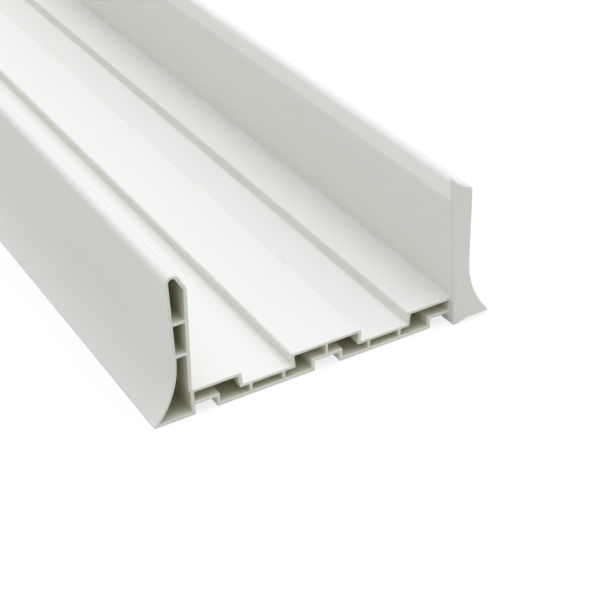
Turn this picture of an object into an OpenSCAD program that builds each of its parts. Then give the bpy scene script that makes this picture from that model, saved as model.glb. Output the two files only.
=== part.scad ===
// Extruded PVC U-profile: a flat hollow-chamber floor between two hollow walls with flared feet.
// A panel stands in the channel between the walls. X runs across the profile, Y along it, Z up.
// The section is the same from end to end, and an end cap closes the right wall's near end.

/* [Channel] */
// Gap between the walls at the floor, which is the nominal thickness of the panel
panel_w = 100; // [94:1:160]
// Length of the extrusion
length = 1000; // [100:10:6000]

/* [Skins] */
// Thickness of the outer skins
skin = 1.25; // [0.9:0.05:1.5]
// Thickness of the webs between the chambers
web = 1.0; // [0.6:0.1:1.4]
// Radius of the small inside and outside corners
corner_r = 0.5; // [0.2:0.05:0.6]
// Radius of the upper edges of the floor's raised strips
edge_r = 1.0; // [0.5:0.1:1.2]

/* [Floor] */
// Height of the raised floor strips above the ground
floor_h = 10; // [9:0.25:14]
// Width of the raised strip along the middle of the floor
mid_w = 27; // [20:0.5:32]
// Width of each groove in the floor
groove_w = 18.5; // [12:0.5:20]
// Depth of the grooves below the raised strips
groove_d = 4.7; // [3:0.1:5.2]
// How far the sides of a groove lean over their height
groove_lean = 0.5; // [0:0.1:1]
// Distance of each outer web from the nearest groove side
web_inset = 3.1; // [2:0.1:5]
// Width of each low strip that rests on the ground under the floor
low_w = 36.8; // [30:0.2:38]
// Gap between the two low strips
low_gap = 9.6; // [6:0.2:12]
// Height of the underside of the floor above the ground beside the low strips
under_rise = 3.75; // [2:0.25:4.5]

/* [Walls] */
// Height of the walls above the ground
wall_h = 54; // [50:0.5:90]
// How far each wall leans in over the panel at its grip edge
grip_lean = 1.3; // [0:0.1:2]
// Thickness of a wall at its waist, measured from the panel's face at the floor
waist_t = 5.7; // [5.4:0.1:9]
// How far the outer face leans out between the waist and the crown
crown_lean = 0.3; // [0:0.1:0.6]
// Radius of the rounded crown
crown_r = 2.6; // [2.2:0.1:2.9]
// Angle of the lead-in chamfer from the vertical
lead_a = 28; // [20:1:35]
// Height of the lower web in each wall
web_low_h = 24.2; // [20:0.5:27]
// Height of the upper web in each wall
web_high_h = 36.3; // [31:0.5:40]
// How far the inner skin steps in below the floor
under_step = 0.6; // [0:0.1:1]

/* [Feet] */
// Reach of a foot's tip beyond the panel's face
foot_reach = 14.2; // [11:0.2:18]
// Distance from the wall's lower web down to the waist, where the foot's hollow begins
waist_drop = 1.3; // [1:0.1:6]
// Height of the blunt edge at the foot's tip
tip_h = 0.8; // [0.4:0.1:1.2]

/* [End cap] */
// Thickness of the cap's plate
cap_t = 3.0; // [2:0.1:5]
// Radius of the plate's rounded front edges
cap_edge_r = 0.9; // [0.4:0.1:1.2]
// Height of the rounding along the front of the plate's sole
cap_sole_r = 0.4; // [0.2:0.1:0.8]
// Height of the plate's ear beside the channel above the wall's crown
ear_h = 3.25; // [1:0.25:5]
// Radius of the ear's corner
ear_r = 0.4; // [0.3:0.1:1.5]
// Height of the plate's sole above the ground, outside its heel
sole_rise = 1.2; // [0.4:0.1:1.8]
// Width of the heel that stands on the ground beside the channel
heel_w = 1.5; // [1.2:0.1:3]
// Width of the ramp from the heel to the sole
ramp_w = 4.2; // [2:0.2:6]
// Length of the lugs that plug into the wall's chambers
lug_len = 12; // [5:1:30]
// Clearance round each lug
lug_fit = 0.15; // [0.1:0.05:0.3]
// How much each side of a lug draws in towards its tip
lug_taper = 0.3; // [0.1:0.05:0.3]
// Length of the drawn-in tip
lug_tip = 3; // [1:0.5:4]

/* [Hidden] */

// Angle between two points of a rounded corner or arc
arc_step = 9;
// Number of sides of the foot's hollow
foot_sides = 7;
// Angle between two rings of a rounded front edge
edge_step = 22.5;

// Places across the section, measured from the middle of the channel
inner_x = panel_w / 2;
under_x = inner_x - under_step;
waist_x = inner_x + waist_t;
tip_x = inner_x + foot_reach;
grip_x = inner_x - grip_lean;
crown_x = waist_x + crown_lean - crown_r;
mid_x = mid_w / 2;
groove_x = mid_x + groove_w;
low_in = low_gap / 2;
low_out = low_in + low_w;
web_in = mid_x + web_inset;
web_out = groove_x - web_inset;

// Heights above the ground
groove_h = floor_h - groove_d;
crown_h = wall_h - crown_r;
waist_h = web_low_h - waist_drop;

// Radius and sweep of the foot's hollow: upright at the waist, and through the top of the tip
foot_r = ((tip_x - waist_x)^2 + (waist_h - tip_h)^2) / (2 * (tip_x - waist_x));
foot_turn = asin((waist_h - tip_h) / foot_r);
foot_step = foot_turn / foot_sides;

// Angle of the ear's top edge from the level
ear_a = atan(ear_h / (crown_x - grip_x));

// Ends of the extrusion and of the capped object along Y
far_y = (length + cap_t) / 2;
near_y = far_y - length;
cap_y = -far_y;

function unit(v) = v / norm(v);

// Points of a circular arc from angle a0 to a1 about the point c
function arc(c, r, a0, a1, step = arc_step) = let (n = max(2, round(abs(a1 - a0) / step)))
    [for (i = [0:n]) let (a = a0 + (a1 - a0) * i / n) c + r * [cos(a), sin(a)]];

// Points that round the corner b between a and c with radius r
function corner(a, b, c, r) =
    let (u = unit(a - b), v = unit(c - b), half = acos(u * v) / 2,
        m = b + unit(u + v) * r / sin(half),
        p = b + u * r / tan(half) - m, q = b + v * r / tan(half) - m,
        a0 = atan2(p.y, p.x), turn = (atan2(q.y, q.x) - a0 + 540) % 360 - 180)
    arc(m, r, a0, a0 + turn);

// A closed outline from points [x, z] and from corners [x, z, radius]
function rounded(pts) =
    let (n = len(pts), at = function(i) [pts[i % n].x, pts[i % n].y])
    [for (i = [0:n - 1])
        each len(pts[i]) == 3 ? corner(at(i + n - 1), at(i), at(i + 1), pts[i][2]) : [at(i)]];

function mirrored(pts) = [for (i = [len(pts) - 1:-1:0]) let (p = pts[i])
    len(p) == 3 ? [-p.x, p.y, p[2]] : [-p.x, p.y]];

// The wall's faces at height h, moved into the wall by d
function outer_face(h, d) = waist_x + crown_lean * (h - waist_h) / (crown_h - waist_h) - d;
function grip_h(d) = crown_h + (crown_r - d) * sin(lead_a)
    - (crown_x - (crown_r - d) * cos(lead_a) - grip_x - d) / tan(lead_a);
function inner_face(h, d) = inner_x - grip_lean * (h - floor_h) / (grip_h(0) - floor_h) + d;

// The foot's hollow, moved into the foot by d and up by rise, from the height low to the waist.
// Its lowest side keeps its slope, so rings at different d join in flat faces.
function foot_hollow(d, low, rise = 0) =
    let (up = arc([waist_x + foot_r, waist_h + rise], foot_r + d, 180 + foot_turn - foot_step, 180,
        foot_step))
    concat([[up[0].x + (up[0].y - low) * tan(foot_turn - foot_step / 2), low]], up);

// The crown and the lead-in chamfer, moved into the wall by d, from the outer to the inner face
function crown(d, end_a) = arc([crown_x, crown_h], crown_r - d, 0, end_a);
function grip(d, r) = [[inner_face(grip_h(d), d), grip_h(d), r]];

// The floor and one wall, from the middle of the underside round to the middle of the floor
half_outline = concat(
    [[low_in, under_rise, corner_r], [low_in, 0, corner_r],
    [low_out, 0, corner_r], [low_out, under_rise, corner_r],
    [under_x, under_rise, corner_r], [under_x, 0], [tip_x, 0]],
    foot_hollow(0, tip_h), crown(0, 180 - lead_a), grip(0, 2 * corner_r),
    [[inner_x, floor_h, corner_r],
    [groove_x + groove_lean / 2, floor_h, edge_r], [groove_x - groove_lean / 2, groove_h, corner_r],
    [mid_x - groove_lean / 2, groove_h, corner_r], [mid_x + groove_lean / 2, floor_h, edge_r]]);

// The chambers of a wall, with g as the clearance left all round
function top_chamber(g) = let (d = skin + g, h = web_high_h + web / 2 + g) concat(
    [[inner_face(h, d), h, corner_r], [outer_face(h, d), h, corner_r]],
    crown(d, 180 - lead_a), grip(d, corner_r));
function mid_chamber(g) =
    let (d = skin + g, h0 = web_low_h + web / 2 + g, h1 = web_high_h - web / 2 - g)
    [[inner_face(h0, d), h0, corner_r], [outer_face(h0, d), h0, corner_r],
    [outer_face(h1, d), h1, corner_r], [inner_face(h1, d), h1, corner_r]];
function foot_chamber(g) = let (d = skin + g, h = web_low_h - web / 2 - g) concat(
    [[under_x + d, d, corner_r]], foot_hollow(d, d),
    [[outer_face(h, d), h, corner_r], [inner_face(h, d), h, corner_r],
    [inner_x + d, floor_h], [under_x + d, floor_h - skin]]);
function wall_chambers(g) = [top_chamber(g), mid_chamber(g), foot_chamber(g)];

// The chambers of one half of the floor, from the wall to the middle web
lean_x = groove_lean / 2;
outer_chamber = [[web_out + web / 2, skin, corner_r], [low_out - skin, skin, corner_r],
    [low_out - skin, under_rise + skin, corner_r], [under_x, under_rise + skin, corner_r],
    [under_x, floor_h - skin, corner_r], [groove_x + lean_x + skin, floor_h - skin, corner_r],
    [groove_x - lean_x + skin, groove_h - skin, corner_r],
    [web_out + web / 2, groove_h - skin, corner_r]];
groove_chamber = [[web_in + web / 2, skin, corner_r], [web_out - web / 2, skin, corner_r],
    [web_out - web / 2, groove_h - skin, corner_r], [web_in + web / 2, groove_h - skin, corner_r]];
mid_strip_chamber = [[web / 2, under_rise + skin, corner_r],
    [low_in + skin, under_rise + skin, corner_r], [low_in + skin, skin, corner_r],
    [web_in - web / 2, skin, corner_r], [web_in - web / 2, groove_h - skin, corner_r],
    [mid_x - lean_x - skin, groove_h - skin, corner_r],
    [mid_x + lean_x - skin, floor_h - skin, corner_r], [web / 2, floor_h - skin, corner_r]];

half_chambers = concat(wall_chambers(0), [outer_chamber, groove_chamber, mid_strip_chamber]);

// The cap's plate, moved inwards by d: the wall's end with an ear over its lead-in, which slopes up
// from the crown to the channel, and with its foot lifted off the ground outside the heel
function ear_top(d) = wall_h + (crown_x - grip_x - d) * tan(ear_a) - d / cos(ear_a);
function cap_outline(d) =
    let (b = d * cap_sole_r / cap_edge_r, ramp_x = under_x + heel_w,
        hollow = foot_hollow(d, sole_rise + b + tip_h * (1 - d / cap_edge_r / 2), sole_rise))
    concat([[under_x + d, b], [ramp_x, b], [ramp_x + ramp_w, sole_rise + b],
        [hollow[0].x, sole_rise + b]], hollow, crown(d, 90 - arc_step),
        [[crown_x - d * tan(ear_a / 2), wall_h - d], [grip_x + d, ear_top(d), ear_r],
        [inner_x + d, floor_h - d], [under_x + d, floor_h - d]]);

// Extrudes a section that is drawn in X and Z along Y
module along(y0, y1) {
    translate([0, y1, 0]) rotate([90, 0, 0]) linear_extrude(y1 - y0) children();
}

// Closes a solid over outlines [y, points] with equal numbers of points, from the far to the near one
module lofted(rings) {
    n = len(rings[0][1]);
    last = len(rings) - 1;
    polyhedron(
        [for (ring = rings) for (p = ring[1]) [p.x, ring[0], p.y]],
        concat([[for (i = [0:n - 1]) i]], [[for (i = [n - 1:-1:0]) last * n + i]],
            [for (k = [0:last - 1]) for (i = [0:n - 1]) let (j = (i + 1) % n)
                [(k + 1) * n + i, (k + 1) * n + j, k * n + j, k * n + i]]));
}

module u_profile() {
    color([0.93, 0.93, 0.91]) along(near_y, far_y) difference() {
        polygon(rounded(concat(half_outline, mirrored(half_outline))));
        for (chamber = half_chambers) {
            polygon(rounded(chamber));
            polygon(rounded(mirrored(chamber)));
        }
    }
}

// Plate of the cap, flat against the wall's end and rounded along its front edges
module cap_plate() {
    lofted(concat([[near_y, rounded(cap_outline(0))]],
        [for (a = [0:edge_step:90]) [cap_y + cap_edge_r * (1 - sin(a)),
            rounded(cap_outline(cap_edge_r * (1 - cos(a))))]]));
}

module cap_lugs() {
    full = wall_chambers(lug_fit);
    tip = wall_chambers(lug_fit + lug_taper);
    for (i = [0:len(full) - 1])
        lofted([[near_y + lug_len, rounded(tip[i])],
            [near_y + lug_len - lug_tip, rounded(full[i])],
            [near_y - cap_t / 2, rounded(full[i])]]);
}

module end_cap() {
    color([0.86, 0.86, 0.84]) {
        cap_plate();
        cap_lugs();
    }
}

u_profile();
end_cap();
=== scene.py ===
import math
import bpy
import numpy as np
from mathutils import Matrix, Vector
from mathutils.geometry import delaunay_2d_cdt


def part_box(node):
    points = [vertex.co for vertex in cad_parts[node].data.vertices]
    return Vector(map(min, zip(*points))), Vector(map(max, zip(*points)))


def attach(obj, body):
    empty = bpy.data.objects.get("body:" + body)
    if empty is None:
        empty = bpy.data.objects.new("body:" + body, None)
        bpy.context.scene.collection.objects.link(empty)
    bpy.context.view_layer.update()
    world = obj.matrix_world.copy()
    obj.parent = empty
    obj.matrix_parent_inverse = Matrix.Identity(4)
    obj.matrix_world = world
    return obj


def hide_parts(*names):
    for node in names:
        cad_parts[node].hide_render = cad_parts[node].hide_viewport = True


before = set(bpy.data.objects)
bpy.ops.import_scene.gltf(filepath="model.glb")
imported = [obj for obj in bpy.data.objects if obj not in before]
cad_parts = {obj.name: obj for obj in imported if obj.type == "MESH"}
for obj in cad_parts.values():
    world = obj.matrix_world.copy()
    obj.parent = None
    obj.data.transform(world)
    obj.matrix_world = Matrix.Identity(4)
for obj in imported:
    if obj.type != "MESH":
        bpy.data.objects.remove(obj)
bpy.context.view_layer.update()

mm = 0.001


# Small helpers

def linear(hexColour):
    # sRGB hex to linear light
    rgb = [int(hexColour[i:i + 2], 16) / 255 for i in (1, 3, 5)]
    return tuple(c / 12.92 if c <= 0.04045 else ((c + 0.055) / 1.055) ** 2.4 for c in rgb) + (1.0,)


def addNode(tree, kind, values=None, links=None, **settings):
    # one node with its settings, input values and incoming links
    node = tree.nodes.new(kind)
    for key, value in settings.items():
        setattr(node, key, value)
    for socket, value in (values or {}).items():
        node.inputs[socket].default_value = value
    for socket, source in (links or {}).items():
        tree.links.new(source, node.inputs[socket])
    return node


def newMaterial(name):
    material = bpy.data.materials.new(name)
    material.use_nodes = True
    material.node_tree.nodes.clear()
    return material, material.node_tree


def positionIn(tree, size):
    # object position divided by a real size in millimetres along X, Y and Z
    where = addNode(tree, "ShaderNodeTexCoord")
    scale = tuple(1 / (v * mm) for v in size)
    return addNode(tree, "ShaderNodeMapping", {"Scale": scale}, {"Vector": where.outputs["Object"]})


def bump(tree, height, depth, under=None):
    # raises the surface by height times depth, in millimetres
    links = {"Height": height}
    if under:
        links["Normal"] = under.outputs["Normal"]
    return addNode(tree, "ShaderNodeBump", {"Strength": 1.0, "Distance": depth * mm}, links)


# Outlines, as arrays of (x, z) in millimetres that run anticlockwise seen from the near end

def arc(centre, radius, startAngle, endAngle, sides):
    # centre + radius * (cos a, sin a), with a going evenly from start to end
    a = np.radians(np.linspace(startAngle, endAngle, sides + 1))
    return np.array(centre) + radius * np.stack([np.cos(a), np.sin(a)], 1)


def rounded(corners, step):
    # a closed outline from corners (x, z) and (x, z, radius): each radius becomes a tangent arc
    flat = np.array([c[:2] for c in corners], float)
    out = []
    for i, c in enumerate(corners):
        if len(c) == 2:
            out.append(flat[i:i + 1])
            continue
        b = flat[i]
        u, v = flat[i - 1] - b, flat[(i + 1) % len(flat)] - b
        u, v = u / np.linalg.norm(u), v / np.linalg.norm(v)
        half = math.acos(np.clip(u @ v, -1, 1)) / 2
        middle = b + (u + v) / np.linalg.norm(u + v) * c[2] / math.sin(half)
        p, q = b + u * c[2] / math.tan(half) - middle, b + v * c[2] / math.tan(half) - middle
        start = math.degrees(math.atan2(p[1], p[0]))
        turn = (math.degrees(math.atan2(q[1], q[0])) - start + 540) % 360 - 180
        out.append(arc(middle, c[2], start, start + turn, max(2, round(abs(turn) / step))))
    return np.concatenate(out)


def mirrored(points):
    # the other half, in reverse order so that it still runs anticlockwise
    return points[::-1] * np.array([-1.0, 1.0])


def movedIn(loop, distance):
    # each point moved to the left of the loop along the mean normal of its two edges
    edge = np.roll(loop, -1, 0) - loop
    edge = edge / np.linalg.norm(edge, axis=1, keepdims=True)
    normal = np.stack([-edge[:, 1], edge[:, 0]], 1)
    mean = normal + np.roll(normal, 1, 0)
    return loop + distance * 2 * mean / (mean ** 2).sum(1, keepdims=True)


# Meshes

def placed(loop, y):
    # an outline in millimetres as points in metres at one place along the length
    return np.stack([loop[:, 0] * mm, np.full(len(loop), y), loop[:, 1] * mm], 1)


def ringFaces(rings, points, first, outside):
    # quads between neighbouring rings of a closed outline, facing out of it or into it
    k, i = np.meshgrid(np.arange(rings - 1), np.arange(points), indexing="ij")
    j = (i + 1) % points
    corners = [k * points + i, (k + 1) * points + i, (k + 1) * points + j, k * points + j]
    quads = np.stack([c.ravel() for c in corners], 1) + first
    return quads if outside else quads[:, ::-1]


def fill(loops, firsts, towardsCamera):
    # Delaunay triangles of a flat end: kept where a ray from the middle crosses the loops an odd
    # number of times, so that chambers stay open
    points = np.concatenate(loops)
    starts = np.cumsum([0] + [len(loop) for loop in loops])
    edges = [(a + i, a + (i + 1) % (b - a)) for a, b in zip(starts[:-1], starts[1:]) for i in range(b - a)]
    made = delaunay_2d_cdt([Vector(p) for p in points], edges, [], 0, 1e-6)
    local = np.array([origins[0] for origins in made[3]])
    triangles = local[np.array(made[2])]
    middle = points[triangles].mean(1)
    crossings = np.zeros(len(triangles), int)
    for loop in loops:
        a, b = loop, np.roll(loop, -1, 0)
        x, z = middle[:, :1], middle[:, 1:]
        spans = (a[:, 1] > z) != (b[:, 1] > z)
        rise = np.where(b[:, 1] == a[:, 1], 1.0, b[:, 1] - a[:, 1])
        crossings += (spans & (x < a[:, 0] + (z - a[:, 1]) * (b[:, 0] - a[:, 0]) / rise)).sum(1)
    triangles = triangles[crossings % 2 == 1]
    p = points[triangles]
    area = np.cross(p[:, 1] - p[:, 0], p[:, 2] - p[:, 0])
    turned = (area > 0) != towardsCamera
    triangles[turned] = triangles[turned][:, ::-1]
    shift = np.concatenate([np.full(len(loop), f) - a for loop, f, a in zip(loops, firsts, starts)])
    return triangles + shift[triangles]


def newPiece(name, points, faceSets, materials, sharpAngle):
    # one mesh from points and from (faces, material number) sets, smooth except at sharp edges
    mesh = bpy.data.meshes.new(name)
    faces = [f for group, _ in faceSets for f in group.tolist()]
    mesh.from_pydata(points.tolist(), [], faces)
    numbers = np.concatenate([np.full(len(group), number) for group, number in faceSets])
    mesh.polygons.foreach_set("material_index", numbers.astype(np.int32))
    for material in materials:
        mesh.materials.append(material)
    mesh.shade_smooth()
    mesh.set_sharp_from_angle(angle=math.radians(sharpAngle))
    piece = bpy.data.objects.new(name, mesh)
    bpy.context.scene.collection.objects.link(piece)
    normals = piece.modifiers.new("flatFacesStayFlat", "WEIGHTED_NORMAL")
    normals.keep_sharp = True
    normals.weight = 100
    return piece


# Extruded profile: X from the middle of the channel, Z from the ground, in millimetres
section = {
    "innerX": 50.0,       # panel face of a wall at the floor
    "gripX": 48.7,        # the same face at the grip edge, where the wall leans in
    "underStep": 0.6,     # step inwards below the floor
    "waistX": 55.7,       # outer face at the waist
    "crownLean": 0.3,     # how far the outer face leans out above the waist
    "crownR": 2.6,
    "wallH": 54.0,
    "leadAngle": 28.0,    # lead-in chamfer, degrees from the vertical
    "tipX": 64.2,
    "tipH": 0.8,
    "waistDrop": 1.3,     # from the lower web to the waist, where the foot's hollow begins
    "floorH": 10.0,
    "midW": 27.0,         # raised strip in the middle
    "grooveW": 18.5,
    "grooveD": 4.7,
    "grooveLean": 0.5,
    "webInset": 3.1,
    "lowW": 36.8,
    "lowGap": 9.6,
    "underRise": 3.75,
    "skin": 1.25,
    "web": 1.0,
    "webLowH": 24.2,
    "webHighH": 36.3,
    "cornerR": 0.5,
    "gripR": 3.0,         # where the lead-in meets the panel face
    "edgeR": 1.0,         # upper edges of the floor's raised strips
    "arris": 0.2,         # edge that the saw and the deburring knife leave
    "stations": 9,        # rings along the length
    "arcStep": 5.0,       # degrees between the points of a round corner
    "footSides": 14,      # sides of the foot's hollow
}

s = section
crownX = s["waistX"] + s["crownLean"] - s["crownR"]
crownH = s["wallH"] - s["crownR"]
lead = math.radians(s["leadAngle"])
underX = s["innerX"] - s["underStep"]
midX = s["midW"] / 2
grooveX = midX + s["grooveW"]
grooveH = s["floorH"] - s["grooveD"]
lowIn = s["lowGap"] / 2
lowOut = lowIn + s["lowW"]
webIn, webOut = midX + s["webInset"], grooveX - s["webInset"]
waistH = s["webLowH"] - s["waistDrop"]
footReach, footRise = s["tipX"] - s["waistX"], waistH - s["tipH"]
footR = (footReach ** 2 + footRise ** 2) / (2 * footReach)


def outerFace(h, d):
    # outer face of a wall at height h, moved d into the wall
    return s["waistX"] + s["crownLean"] * (h - waistH) / (crownH - waistH) - d


def gripH(d):
    # height at which the lead-in chamfer meets the panel face, both moved d into the wall
    r = s["crownR"] - d
    return crownH + r * math.sin(lead) - (crownX - r * math.cos(lead) - s["gripX"] - d) / math.tan(lead)


def innerFace(h, d):
    # panel face of a wall at height h, moved d into the wall
    share = (h - s["floorH"]) / (gripH(0) - s["floorH"])
    return s["innerX"] - (s["innerX"] - s["gripX"]) * share + d


def footHollow(d, low, lift):
    # one arc from the height low up to the waist, moved d into the foot and lifted
    centre, radius = (s["waistX"] + footR, waistH + lift), footR + d
    start = 180 + math.degrees(math.asin((waistH + lift - low) / radius))
    return [tuple(p) for p in arc(centre, radius, start, 180, s["footSides"])]


def crown(d, endAngle):
    # the rounded top of a wall, moved d into it
    return [tuple(p) for p in arc((crownX, crownH), s["crownR"] - d, 0, endAngle, round(endAngle / s["arcStep"]))]


def wallChambers(g):
    # the three chambers of a wall from the top, g smaller all round
    d, r = s["skin"] + g, s["cornerR"]
    top = s["webHighH"] + s["web"] / 2 + g
    midTop, midLow = s["webHighH"] - s["web"] / 2 - g, s["webLowH"] + s["web"] / 2 + g
    low = s["webLowH"] - s["web"] / 2 - g
    corners = [
        [(innerFace(top, d), top, r), (outerFace(top, d), top, r)]
        + crown(d, 180 - s["leadAngle"]) + [(innerFace(gripH(d), d), gripH(d), r)],
        [(innerFace(midLow, d), midLow, r), (outerFace(midLow, d), midLow, r),
         (outerFace(midTop, d), midTop, r), (innerFace(midTop, d), midTop, r)],
        [(underX + d, d, r)] + footHollow(d, d, 0)
        + [(outerFace(low, d), low, r), (innerFace(low, d), low, r),
           (s["innerX"] + d, s["floorH"]), (underX + d, s["floorH"] - s["skin"])],
    ]
    return [rounded(c, s["arcStep"]) for c in corners]


def profileOutline():
    # underside, foot, wall, crown, lead-in and floor of the right half, then the left half
    r, edge, lean = s["cornerR"], s["edgeR"], s["grooveLean"] / 2
    under, floorH = s["underRise"], s["floorH"]
    half = [(lowIn, under, r), (lowIn, 0, r), (lowOut, 0, r), (lowOut, under, r), (underX, under, r),
            (underX, 0), (s["tipX"], 0)]
    half += footHollow(0, s["tipH"], 0) + crown(0, 180 - s["leadAngle"])
    half += [(s["gripX"], gripH(0), s["gripR"]), (s["innerX"], floorH, r),
             (grooveX + lean, floorH, edge), (grooveX - lean, grooveH, r),
             (midX - lean, grooveH, r), (midX + lean, floorH, edge)]
    other = [(-c[0],) + tuple(c[1:]) for c in reversed(half)]
    return rounded(half + other, s["arcStep"])


def profileChambers():
    # every chamber of the right half, then the same mirrored
    r, t, lean = s["cornerR"], s["skin"], s["grooveLean"] / 2
    under, floorH, w = s["underRise"] + t, s["floorH"] - t, s["web"] / 2
    floorChambers = [
        [(webOut + w, t, r), (lowOut - t, t, r), (lowOut - t, under, r), (underX, under, r),
         (underX, floorH, r), (grooveX + lean + t, floorH, r), (grooveX - lean + t, grooveH - t, r),
         (webOut + w, grooveH - t, r)],
        [(webIn + w, t, r), (webOut - w, t, r), (webOut - w, grooveH - t, r), (webIn + w, grooveH - t, r)],
        [(w, under, r), (lowIn + t, under, r), (lowIn + t, t, r), (webIn - w, t, r),
         (webIn - w, grooveH - t, r), (midX - lean - t, grooveH - t, r),
         (midX + lean - t, floorH, r), (w, floorH, r)],
    ]
    loops = wallChambers(0) + [rounded(c, s["arcStep"]) for c in floorChambers]
    return loops + [mirrored(loop) for loop in loops]


def makeProfile(nearY, farY, materials):
    # the section carried along the length, with an arris round both sawn ends
    arris = s["arris"]
    middle = np.linspace(nearY + arris * mm, farY - arris * mm, s["stations"])
    endLoops, points, faceSets, starts, first = [], [], [], [], 0
    for loop, sign in [(profileOutline(), 1)] + [(c, -1) for c in profileChambers()]:
        end = movedIn(loop, sign * arris)
        points += [placed(end, nearY)] + [placed(loop, y) for y in middle] + [placed(end, farY)]
        faceSets.append((ringFaces(len(middle) + 2, len(loop), first, sign > 0), 0 if sign > 0 else 2))
        endLoops.append(end)
        starts.append(first)
        first += (len(middle) + 2) * len(loop)
    lastRings = [a + (len(middle) + 1) * len(loop) for a, loop in zip(starts, endLoops)]
    faceSets.append((fill(endLoops, starts, True), 1))
    faceSets.append((fill(endLoops, lastRings, False), 1))
    return newPiece("extrudedProfile", np.concatenate(points), faceSets, materials, 32)


skinFinish = {
    "colours": ("#e8e6df", "#e5e4dc"),
    "roughness": (0.42, 0.54),
    "dieLine": 0.9,       # spacing across of the faint lines that the die leaves, millimetres
    "dieLineDepth": 0.006,
    "wave": 14.0,         # width of the slow waves from cooling
    "waveDepth": 0.10,
    "sinkWidth": 2.2,     # half width of the shallow sinks over the webs
    "sinkDepth": 0.008,
}


def extrudedSkin():
    # rigid white PVC drawn through a polished die: satin, with faint lines along the length, slow
    # waves and shallow sinks over the webs
    f = skinFinish
    material, tree = newMaterial("extrudedWhitePvcSkin")
    lines = addNode(tree, "ShaderNodeTexNoise", {"Scale": 1.0, "Detail": 2.0, "Roughness": 0.55},
                    {"Vector": positionIn(tree, (f["dieLine"], 600.0, f["dieLine"])).outputs[0]})
    waves = addNode(tree, "ShaderNodeTexNoise", {"Scale": 1.0, "Detail": 1.0},
                    {"Vector": positionIn(tree, (f["wave"], 180.0, f["wave"])).outputs[0]})
    where = addNode(tree, "ShaderNodeSeparateXYZ",
                    links={"Vector": addNode(tree, "ShaderNodeTexCoord").outputs["Object"]})
    across = addNode(tree, "ShaderNodeMath", links={0: where.outputs["X"]}, operation="ABSOLUTE")
    inWall = addNode(tree, "ShaderNodeMath", {1: (s["gripX"] - 0.5) * mm}, {0: across.outputs[0]},
                     operation="GREATER_THAN")
    place = addNode(tree, "ShaderNodeMix", data_type="FLOAT",
                    links={"Factor": inWall.outputs[0], "A": across.outputs[0], "B": where.outputs["Z"]})
    total = None
    for centre, wall in [(0.0, 0), (webIn, 0), (webOut, 0), (s["webLowH"], 1), (s["webHighH"], 1)]:
        # a dip exp(-(distance / width) squared) over each web
        off = addNode(tree, "ShaderNodeMath", {1: centre * mm}, {0: place.outputs[0]}, operation="SUBTRACT")
        off = addNode(tree, "ShaderNodeMath", {1: 1 / (f["sinkWidth"] * mm)}, {0: off.outputs[0]},
                      operation="MULTIPLY")
        off = addNode(tree, "ShaderNodeMath", links={0: off.outputs[0], 1: off.outputs[0]}, operation="MULTIPLY")
        dip = addNode(tree, "ShaderNodeMath", {0: math.exp(-1)}, {1: off.outputs[0]}, operation="POWER")
        same = addNode(tree, "ShaderNodeMath", {1: wall, 2: 0.5}, {0: inWall.outputs[0]}, operation="COMPARE")
        dip = addNode(tree, "ShaderNodeMath", links={0: dip.outputs[0], 1: same.outputs[0]}, operation="MULTIPLY")
        total = dip if total is None else addNode(tree, "ShaderNodeMath", operation="ADD",
                                                  links={0: total.outputs[0], 1: dip.outputs[0]})
    normal = bump(tree, waves.outputs[0], f["waveDepth"])
    normal = bump(tree, total.outputs[0], -f["sinkDepth"], normal)
    normal = bump(tree, lines.outputs[0], f["dieLineDepth"], normal)
    tone = addNode(tree, "ShaderNodeMix", {"A": linear(f["colours"][0]), "B": linear(f["colours"][1])},
                   {"Factor": waves.outputs[0]}, data_type="RGBA")
    gloss = addNode(tree, "ShaderNodeMapRange", {"To Min": f["roughness"][0], "To Max": f["roughness"][1]},
                    {"Value": lines.outputs[0]})
    shader = addNode(tree, "ShaderNodeBsdfPrincipled", {"IOR": 1.53},
                     {"Base Color": tone.outputs["Result"], "Roughness": gloss.outputs[0],
                      "Normal": normal.outputs[0]})
    addNode(tree, "ShaderNodeOutputMaterial", links={"Surface": shader.outputs[0]})
    return material


sawnFinish = {
    "colours": ("#e5e4d9", "#dbdacd"),
    "roughness": 0.62,
    "tooth": 0.45,        # spacing of the saw's tooth lines, millimetres
    "toothDepth": 0.006,
    "bladeCentre": (40.0, 0.0, -150.0),   # the tooth lines are circles about it
    "grain": 0.5,
    "grainDepth": 0.03,
}


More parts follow.
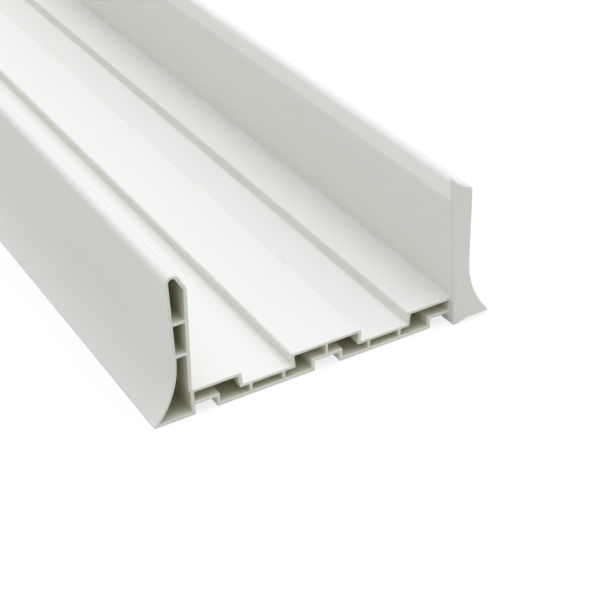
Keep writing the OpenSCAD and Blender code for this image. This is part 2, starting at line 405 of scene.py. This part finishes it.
def sawnEnd():
    # the same PVC cut with a fine circular saw: matt, with shallow curved tooth lines
    f = sawnFinish
    material, tree = newMaterial("sawnPvc")
    where = positionIn(tree, (1.0, 1.0, 1.0))
    blade = addNode(tree, "ShaderNodeVectorMath", {1: f["bladeCentre"]}, {0: where.outputs[0]},
                    operation="SUBTRACT")
    flat = addNode(tree, "ShaderNodeVectorMath", {1: (1.0, 0.0, 1.0)}, {0: blade.outputs[0]}, operation="MULTIPLY")
    reach = addNode(tree, "ShaderNodeVectorMath", links={0: flat.outputs[0]}, operation="LENGTH")
    teeth = addNode(tree, "ShaderNodeMath", {1: 2 * math.pi / f["tooth"]}, {0: reach.outputs["Value"]},
                    operation="MULTIPLY")
    teeth = addNode(tree, "ShaderNodeMath", links={0: teeth.outputs[0]}, operation="SINE")
    grain = addNode(tree, "ShaderNodeTexNoise", {"Scale": 1.0, "Detail": 3.0},
                    {"Vector": positionIn(tree, (f["grain"],) * 3).outputs[0]})
    normal = bump(tree, teeth.outputs[0], f["toothDepth"])
    normal = bump(tree, grain.outputs[0], f["grainDepth"], normal)
    tone = addNode(tree, "ShaderNodeMix", {"A": linear(f["colours"][0]), "B": linear(f["colours"][1])},
                   {"Factor": grain.outputs[0]}, data_type="RGBA")
    shader = addNode(tree, "ShaderNodeBsdfPrincipled", {"IOR": 1.53, "Roughness": f["roughness"]},
                     {"Base Color": tone.outputs["Result"], "Normal": normal.outputs[0]})
    addNode(tree, "ShaderNodeOutputMaterial", links={"Surface": shader.outputs[0]})
    return material


chamberFinish = {
    "mouth": "#e3e1d2",   # near a sawn end: the plastic's own colour, before the painted shade
    # painted shade: the darker colour deep in the chambers, where little light reaches
    "deep": "#cbc8b0",
    "reach": 6.0,         # depth over which the mouth colour turns into the painted shade, millimetres
    "streaks": 0.12,      # how much of the painted shade colour the drawn lines bring to the mouth
    "roughness": 0.5,
    "line": 0.7,          # spacing of the drawn lines, millimetres
    "lineDepth": 0.02,
}


def chamberBody(nearY, farY):
    # the inside of the extrusion, sized only by vacuum: duller and yellower than the skin, and darker further from the
    # sawn ends, which is painted shade
    f = chamberFinish
    material, tree = newMaterial("chamberPvcPaintedShade")
    lines = addNode(tree, "ShaderNodeTexNoise", {"Scale": 1.0, "Detail": 2.0},
                    {"Vector": positionIn(tree, (f["line"], 120.0, f["line"])).outputs[0]})
    normal = bump(tree, lines.outputs[0], f["lineDepth"])
    where = addNode(tree, "ShaderNodeSeparateXYZ",
                    links={"Vector": addNode(tree, "ShaderNodeTexCoord").outputs["Object"]})
    # painted shade: none at a sawn end, full from the reach inwards
    past = [addNode(tree, "ShaderNodeMapRange", {"From Min": end, "From Max": end + way * f["reach"] * mm},
                    {"Value": where.outputs["Y"]}, interpolation_type="SMOOTHSTEP") for end, way in ((nearY, 1), (farY, -1))]
    depth = addNode(tree, "ShaderNodeMath", links={0: past[0].outputs[0], 1: past[1].outputs[0]}, operation="MULTIPLY")
    depth = addNode(tree, "ShaderNodeMath", {0: f["streaks"]}, {1: lines.outputs[0], 2: depth.outputs[0]},
                    operation="MULTIPLY_ADD", use_clamp=True)
    tone = addNode(tree, "ShaderNodeMix", {"A": linear(f["mouth"]), "B": linear(f["deep"])},
                   {"Factor": depth.outputs[0]}, data_type="RGBA")
    shader = addNode(tree, "ShaderNodeBsdfPrincipled", {"IOR": 1.53, "Roughness": f["roughness"]},
                     {"Base Color": tone.outputs["Result"], "Normal": normal.outputs[0]})
    addNode(tree, "ShaderNodeOutputMaterial", links={"Surface": shader.outputs[0]})
    return material


# End cap: a plate over the wall's end with lugs in the chambers, in millimetres
capShape = {
    "edgeR": 0.9,         # rounded front edges of the plate
    "soleR": 0.4,         # height of the rounding along the front of the sole
    "earH": 3.25,         # ear beside the channel above the wall's crown
    "earR": 0.4,
    "soleRise": 1.2,
    "heelW": 1.5,
    "rampW": 4.2,
    "lugRoot": 1.5,       # how deep the lugs start inside the plate
    "lugLen": 12.0,
    "lugFit": 0.15,
    "lugTaper": 0.3,
    "lugTip": 3.0,
    "arris": 0.08,        # soft edge round the back of the plate
    "edgeRings": 7,
}


def capOutline(d):
    # the wall's end moved inwards by d, with an ear over the lead-in and the foot lifted
    c = capShape
    ear = math.atan(c["earH"] / (crownX - s["gripX"]))
    sole = d * c["soleR"] / c["edgeR"]
    hollow = footHollow(d, c["soleRise"] + sole + s["tipH"] * (1 - d / c["edgeR"] / 2), c["soleRise"])
    heelX = underX + c["heelW"]
    earTop = s["wallH"] + (crownX - s["gripX"] - d) * math.tan(ear) - d / math.cos(ear)
    corners = [(underX + d, sole), (heelX, sole), (heelX + c["rampW"], c["soleRise"] + sole),
               (hollow[0][0], c["soleRise"] + sole)] + hollow + crown(d, 85)
    corners += [(crownX - d * math.tan(ear / 2), s["wallH"] - d), (s["gripX"] + d, earTop, c["earR"]),
                (s["innerX"] + d, s["floorH"] - d), (underX + d, s["floorH"] - d)]
    return rounded(corners, s["arcStep"])


def loft(rings, first):
    # a closed solid over outlines (y, loop) of equal length, from the near end to the far one
    count = len(rings[0][1])
    points = np.concatenate([placed(loop, y) for y, loop in rings])
    last = first + (len(rings) - 1) * count
    return points, [(ringFaces(len(rings), count, first, True), 0),
                    (fill([rings[0][1]], [first], True), 0), (fill([rings[-1][1]], [last], False), 0)]


def makeCap(nearY, seatY, materials):
    # plate rings: the front edge follows a quarter circle, the back edge has a fine chamfer
    c = capShape
    turn = np.radians(np.linspace(90, 0, c["edgeRings"]))
    plate = [(nearY + c["edgeR"] * mm * (1 - math.sin(a)), capOutline(c["edgeR"] * (1 - math.cos(a)))) for a in turn]
    plate += [(seatY - c["arris"] * mm, capOutline(0)), (seatY, capOutline(c["arris"]))]
    points, faceSets = loft(plate, 0)
    first = len(points)
    for lug, tip in zip(wallChambers(c["lugFit"]), wallChambers(c["lugFit"] + c["lugTaper"])):
        more, faces = loft([(seatY - c["lugRoot"] * mm, lug), (seatY + (c["lugLen"] - c["lugTip"]) * mm, lug),
                            (seatY + c["lugLen"] * mm, tip)], first)
        points = np.concatenate([points, more])
        faceSets += faces
        first += len(more)
    return newPiece("endCapMoulding", points, faceSets, materials, 40)


capFinish = {
    "colours": ("#e4e3db", "#e1e0d7"),
    "roughness": (0.44, 0.56),
    "grain": 0.25,        # spark-eroded grain, millimetres
    "grainDepth": 0.008,
    "cloud": 9.0,
    "cloudDepth": 0.05,
}


def mouldedCap():
    # injection-moulded PVC from a spark-eroded mould: matt with a fine even grain
    f = capFinish
    material, tree = newMaterial("mouldedPvc")
    grain = addNode(tree, "ShaderNodeTexVoronoi", {"Scale": 1.0},
                    {"Vector": positionIn(tree, (f["grain"],) * 3).outputs[0]})
    cloud = addNode(tree, "ShaderNodeTexNoise", {"Scale": 1.0, "Detail": 2.0},
                    {"Vector": positionIn(tree, (f["cloud"],) * 3).outputs[0]})
    normal = bump(tree, cloud.outputs[0], f["cloudDepth"])
    normal = bump(tree, grain.outputs["Distance"], f["grainDepth"], normal)
    tone = addNode(tree, "ShaderNodeMix", {"A": linear(f["colours"][0]), "B": linear(f["colours"][1])},
                   {"Factor": cloud.outputs[0]}, data_type="RGBA")
    gloss = addNode(tree, "ShaderNodeMapRange", {"To Min": f["roughness"][0], "To Max": f["roughness"][1]},
                    {"Value": cloud.outputs[0]})
    shader = addNode(tree, "ShaderNodeBsdfPrincipled", {"IOR": 1.53},
                     {"Base Color": tone.outputs["Result"], "Roughness": gloss.outputs[0],
                      "Normal": normal.outputs[0]})
    addNode(tree, "ShaderNodeOutputMaterial", links={"Surface": shader.outputs[0]})
    return material


# Studio: the camera is placed from the middle of the near cut, in millimetres
studio = {
    "yaw": 28.841,        # camera's turn to the right of the length, degrees
    "pitch": 33.021,      # and downwards
    "roll": -2.263,
    "fromCut": (-201.6, -348.73, 288.62),
    "lens": 88.34,
    "floorSize": 40.0,    # metres
    "softBoxes": [        # direction, strength, sharpness, colour
        ((0.0, 0.0, 1.0), 5.4, 20.0, "#edf2ff"),
        ((0.64, 0.0, 0.77), 2.15, 6.0, "#f7faff"),
        ((-0.95, 0.0, 0.31), 0.8, 2.0, "#f7fafc"),
        ((0.0, -0.77, 0.64), 0.55, 2.0, "#f7fafc"),
    ],
    "floorBounce": "#d4d4ce",
    "shadowShare": 0.22,  # how much of the floor's shadow shows
}


def backgroundRays(tree):
    # 1 for rays that come from the camera, a reflection or through glass
    path = addNode(tree, "ShaderNodeLightPath")
    both = addNode(tree, "ShaderNodeMath", operation="MAXIMUM",
                   links={0: path.outputs["Is Camera Ray"], 1: path.outputs["Is Glossy Ray"]})
    return addNode(tree, "ShaderNodeMath", operation="MAXIMUM",
                   links={0: both.outputs[0], 1: path.outputs["Is Transmission Ray"]})


def makeFloor():
    half = studio["floorSize"] / 2
    mesh = bpy.data.meshes.new("studioFloor")
    mesh.from_pydata([(-half, -half, 0), (half, -half, 0), (half, half, 0), (-half, half, 0)], [], [(0, 1, 2, 3)])
    floor = bpy.data.objects.new("studioFloor", mesh)
    bpy.context.scene.collection.objects.link(floor)
    material, tree = newMaterial("paleStudioFloor")
    grey = addNode(tree, "ShaderNodeBsdfDiffuse", {"Color": linear(studio["floorBounce"])})
    white = addNode(tree, "ShaderNodeBsdfDiffuse", {"Color": linear("#ffffff")})
    glow = addNode(tree, "ShaderNodeEmission", {"Color": linear("#ffffff"), "Strength": 1.0})
    seen = addNode(tree, "ShaderNodeMixShader", {0: studio["shadowShare"]}, {1: glow.outputs[0], 2: white.outputs[0]})
    mix = addNode(tree, "ShaderNodeMixShader",
                  links={0: backgroundRays(tree).outputs[0], 1: grey.outputs[0], 2: seen.outputs[0]})
    addNode(tree, "ShaderNodeOutputMaterial", links={"Surface": mix.outputs[0]})
    mesh.materials.append(material)


def makeLight():
    # each soft light falls with its sharpness as a power of the cosine of the angle from its direction
    world = bpy.data.worlds.new("softStudio")
    bpy.context.scene.world = world
    world.use_nodes = True
    tree = world.node_tree
    tree.nodes.clear()
    where = addNode(tree, "ShaderNodeTexCoord").outputs["Generated"]
    sky = None
    for direction, strength, sharpness, colour in studio["softBoxes"]:
        cosine = addNode(tree, "ShaderNodeVectorMath", {1: direction}, {0: where}, operation="DOT_PRODUCT")
        cosine = addNode(tree, "ShaderNodeMath", {1: 0.0}, {0: cosine.outputs["Value"]}, operation="MAXIMUM")
        lobe = addNode(tree, "ShaderNodeMath", {1: sharpness}, {0: cosine.outputs[0]}, operation="POWER")
        level = addNode(tree, "ShaderNodeMath", {1: strength}, {0: lobe.outputs[0]}, operation="MULTIPLY")
        light = addNode(tree, "ShaderNodeBackground", {"Color": linear(colour)}, {"Strength": level.outputs[0]})
        sky = addNode(tree, "ShaderNodeAddShader", links={0: sky.outputs[0], 1: light.outputs[0]}) if sky else light
    white = addNode(tree, "ShaderNodeBackground", {"Color": linear("#ffffff"), "Strength": 1.0})
    mix = addNode(tree, "ShaderNodeMixShader",
                  links={0: backgroundRays(tree).outputs[0], 1: sky.outputs[0], 2: white.outputs[0]})
    addNode(tree, "ShaderNodeOutputWorld", links={"Surface": mix.outputs[0]})


def makeCamera(nearY):
    # forward, right and up from yaw, pitch and roll, then placed from the middle of the near cut
    yaw, pitch, roll = (math.radians(studio[k]) for k in ("yaw", "pitch", "roll"))
    forward = Vector((math.sin(yaw) * math.cos(pitch), math.cos(yaw) * math.cos(pitch), -math.sin(pitch)))
    level = Vector((math.cos(yaw), -math.sin(yaw), 0))
    above = level.cross(forward)
    right = level * math.cos(roll) + above * math.sin(roll)
    up = above * math.cos(roll) - level * math.sin(roll)
    data = bpy.data.cameras.new("studioCamera")
    data.sensor_fit, data.sensor_width, data.lens = "HORIZONTAL", 36.0, studio["lens"]
    data.clip_start, data.clip_end = 0.01, 100.0
    camera = bpy.data.objects.new("studioCamera", data)
    bpy.context.scene.collection.objects.link(camera)
    place = Vector([v * mm for v in studio["fromCut"]]) + Vector((0, nearY, 0))
    camera.matrix_world = Matrix.Translation(place) @ Matrix((right, up, -forward)).transposed().to_4x4()
    bpy.context.scene.camera = camera


profileLow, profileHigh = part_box("u_profile")
capLow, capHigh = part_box("end_cap")

print("camera and studio")
makeCamera(profileLow.y)
makeLight()
makeFloor()
bpy.context.scene.view_settings.view_transform = "Standard"

print("extruded profile")
profile = makeProfile(profileLow.y, profileHigh.y, [extrudedSkin(), sawnEnd(), chamberBody(profileLow.y, profileHigh.y)])
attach(profile, "root")
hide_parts("u_profile")

print("end cap")
cap = makeCap(capLow.y, profileLow.y, [mouldedCap()])
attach(cap, "root")
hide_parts("end_cap")
